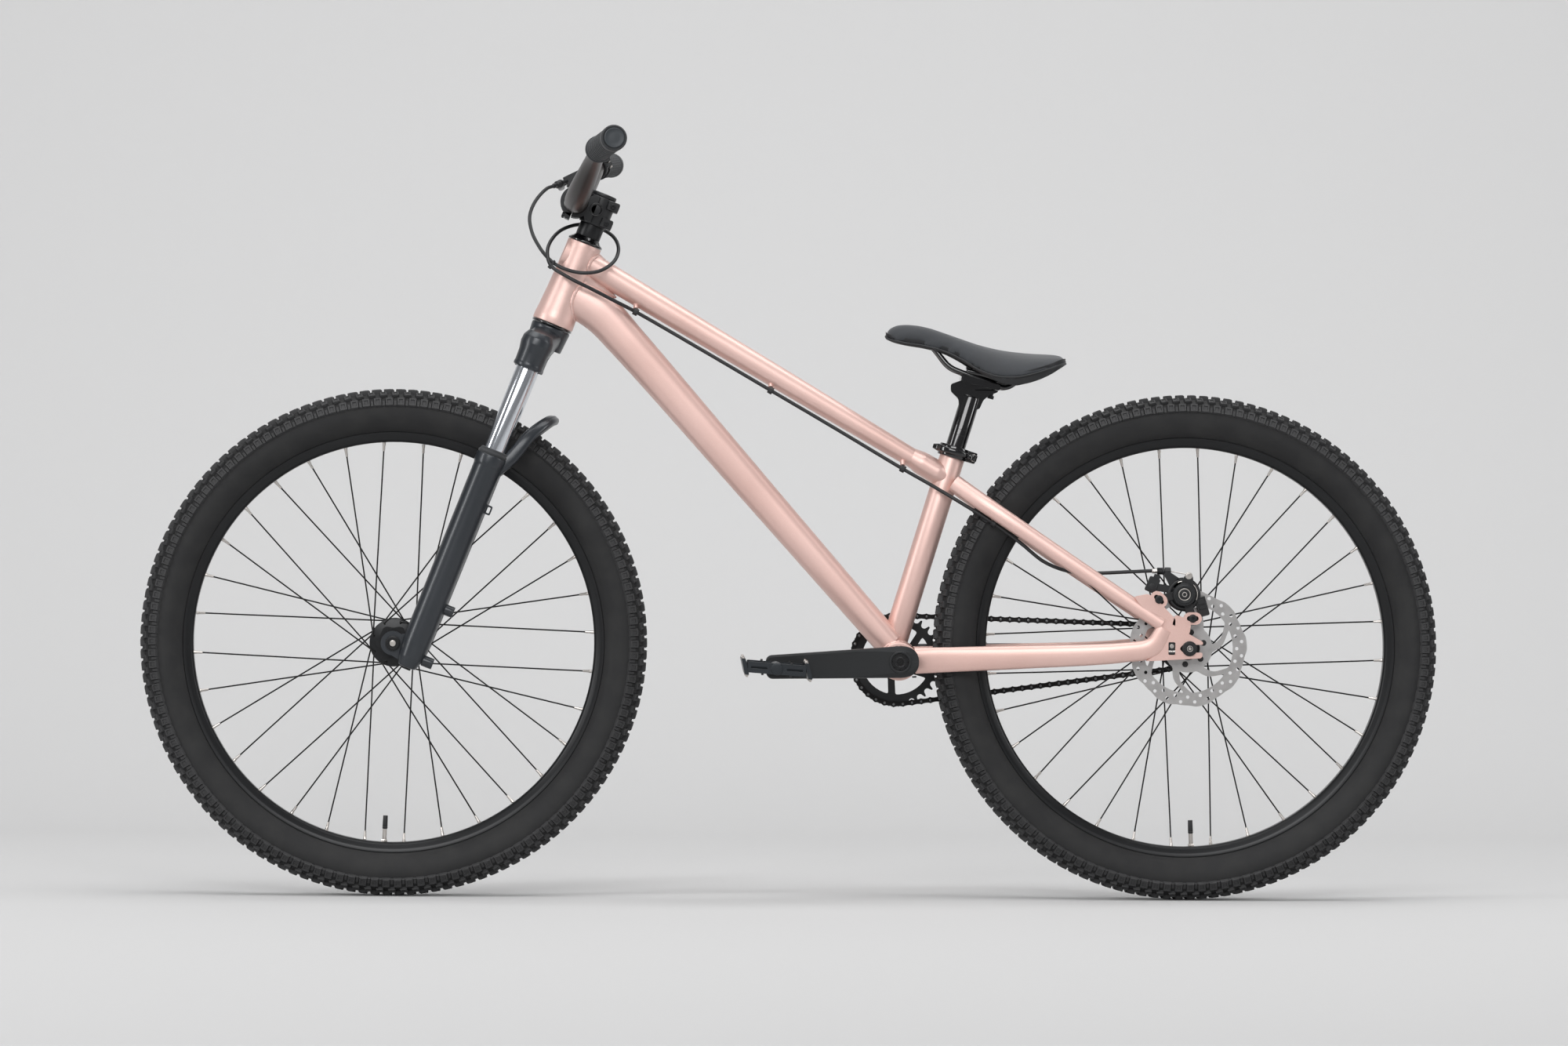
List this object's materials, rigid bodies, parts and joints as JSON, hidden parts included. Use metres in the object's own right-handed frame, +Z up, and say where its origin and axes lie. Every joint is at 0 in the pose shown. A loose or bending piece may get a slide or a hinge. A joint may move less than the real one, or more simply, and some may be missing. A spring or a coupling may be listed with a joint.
{
  "type": "dirt jump bike",
  "caption": "Single-speed dirt jump bike with suspension fork, low sloping frame, wide handlebar and one rear disc brake.",
  "frame": {"origin": "on the ground, half way between the two axles, on the bike's middle plane", "axes": "+X to the rear of the bike, +Y to the drive side, the rider's right, +Z up"},
  "size_m": [1.767, 0.7622, 1.0308],
  "materials": {
    "frame_paint": "satin pearl",
    "fork_paint": "satin",
    "chrome": "polished",
    "black_satin": "satin",
    "black_gloss": "gloss",
    "bar_paint": "satin",
    "grip_rubber": "matte",
    "tyre": "matte",
    "cable_plastic": "satin",
    "steel": "brushed",
    "saddle_cover": "woven"
  },
  "bodies": {
    "frame": {"head_tube": "frame_paint", "headset_lower_ring": "black_satin", "top_tube": "frame_paint", "down_tube": "frame_paint", "seat_tube": "frame_paint", "bottom_bracket_shell": "frame_paint", "chainstay_left": "frame_paint", "chainstay_right": "frame_paint", "seatstay_left": "frame_paint", "seatstay_right": "frame_paint", "dropout_left": "frame_paint", "dropout_right": "frame_paint", "rear_axle": "black_satin", "chain_adjuster_left": "black_satin", "chain_adjuster_right": "black_satin", "brake_calliper": "black_satin", "bearing_cup_left": "black_satin", "bearing_cup_right": "black_satin", "seat_collar": "black_satin", "chain": "black_satin", "brake_cable": "cable_plastic"},
    "steering": {"fork_crown_and_steerer": "fork_paint", "stanchion_left": "chrome", "stanchion_right": "chrome", "headset_cover": "black_satin", "headset_spacer": "black_satin", "stem": "black_satin", "stem_faceplate": "black_satin", "stem_cap": "black_satin", "handlebar": "bar_paint", "grip_left": "grip_rubber", "grip_right": "grip_rubber", "brake_perch": "black_satin"},
    "lever": {"brake_lever": "black_satin"},
    "lowers": {"fork_lowers": "fork_paint", "front_axle": "black_satin"},
    "front_wheel": {"front_tyre": "tyre", "front_rim": "black_satin", "front_hub_and_spokes": "black_satin", "front_valve": "cable_plastic"},
    "rear_wheel": {"rear_tyre": "tyre", "rear_rim": "black_satin", "rear_hub_and_spokes": "black_satin", "rear_valve": "cable_plastic", "brake_rotor": "steel"},
    "sprocket": {"freewheel": "black_satin"},
    "cranks": {"crank_arm_left": "black_satin", "crank_arm_right": "black_satin", "crank_cap": "black_satin", "chain_ring": "black_satin", "pedal_axle_left": "steel", "pedal_axle_right": "steel"},
    "left_pedal": {"pedal_left": "black_satin"},
    "right_pedal": {"pedal_right": "black_satin"},
    "calliper_arm": {"brake_arm": "black_satin"},
    "seat": {"seatpost": "black_gloss", "saddle": "saddle_cover", "saddle_rails": "black_satin"},
    "seat_lever": {"quick_lever": "black_satin"}
  },
  "joints": [
    {"name": "steering_turn", "type": "hinge", "parent": "frame", "child": "steering", "pos_m": [-0.3269, 0, 0.7785], "axis": [0.3676, 0, 0.93], "range_deg": [-75, 75], "deforming": ["brake_cable"]},
    {"name": "fork_travel", "type": "slide", "parent": "steering", "child": "lowers", "axis": [0.3676, 0, 0.93], "range_m": [0, 0.08], "stiffness_N_per_m": 5000, "springref_m": -0.02},
    {"name": "front_wheel_spin", "type": "hinge", "parent": "lowers", "child": "front_wheel", "pos_m": [-0.539, 0, 0.3445], "axis": [0, 1, 0], "continuous": true},
    {"name": "rear_wheel_spin", "type": "hinge", "parent": "frame", "child": "rear_wheel", "pos_m": [0.539, 0, 0.3445], "axis": [0, 1, 0], "continuous": true},
    {"name": "crank_spin", "type": "hinge", "parent": "frame", "child": "cranks", "pos_m": [0.1472, 0, 0.3235], "axis": [0, 1, 0], "continuous": true, "deforming": ["chain"]},
    {"name": "sprocket_spin", "type": "hinge", "parent": "frame", "child": "sprocket", "pos_m": [0.539, 0, 0.3445], "axis": [0, 1, 0], "continuous": true},
    {"name": "left_pedal_spin", "type": "hinge", "parent": "cranks", "child": "left_pedal", "pos_m": [-0.02264, 0, 0.31608], "axis": [0, 1, 0], "continuous": true},
    {"name": "right_pedal_spin", "type": "hinge", "parent": "cranks", "child": "right_pedal", "pos_m": [0.31704, 0, 0.33092], "axis": [0, 1, 0], "continuous": true},
    {"name": "lever_pull", "type": "hinge", "parent": "steering", "child": "lever", "pos_m": [-0.29068, 0.234, 0.99169], "axis": [0.4357, 0, -0.9001], "range_deg": [0, 20], "stiffness_Nm_per_rad": 0.6, "springref_deg": -17.19},
    {"name": "calliper_arm_turn", "type": "hinge", "parent": "frame", "child": "calliper_arm", "pos_m": [0.5315, 0, 0.4178], "axis": [0, -1, 0], "range_deg": [0, 24]},
    {"name": "seat_height", "type": "slide", "parent": "frame", "child": "seat", "axis": [0.2917, 0, 0.9565], "range_m": [-0.04, 0.08]},
    {"name": "seat_lever_turn", "type": "hinge", "parent": "frame", "child": "seat_lever", "pos_m": [0.24735, -0.0176, 0.60066], "axis": [0.2917, 0, 0.9565], "range_deg": [0, 150]}
  ],
  "couplings": [
    {"joint": "sprocket_spin", "follows": "crank_spin", "ratio": 2.1429},
    {"joint": "calliper_arm_turn", "follows": "lever_pull", "ratio": 1.2}
  ]
}
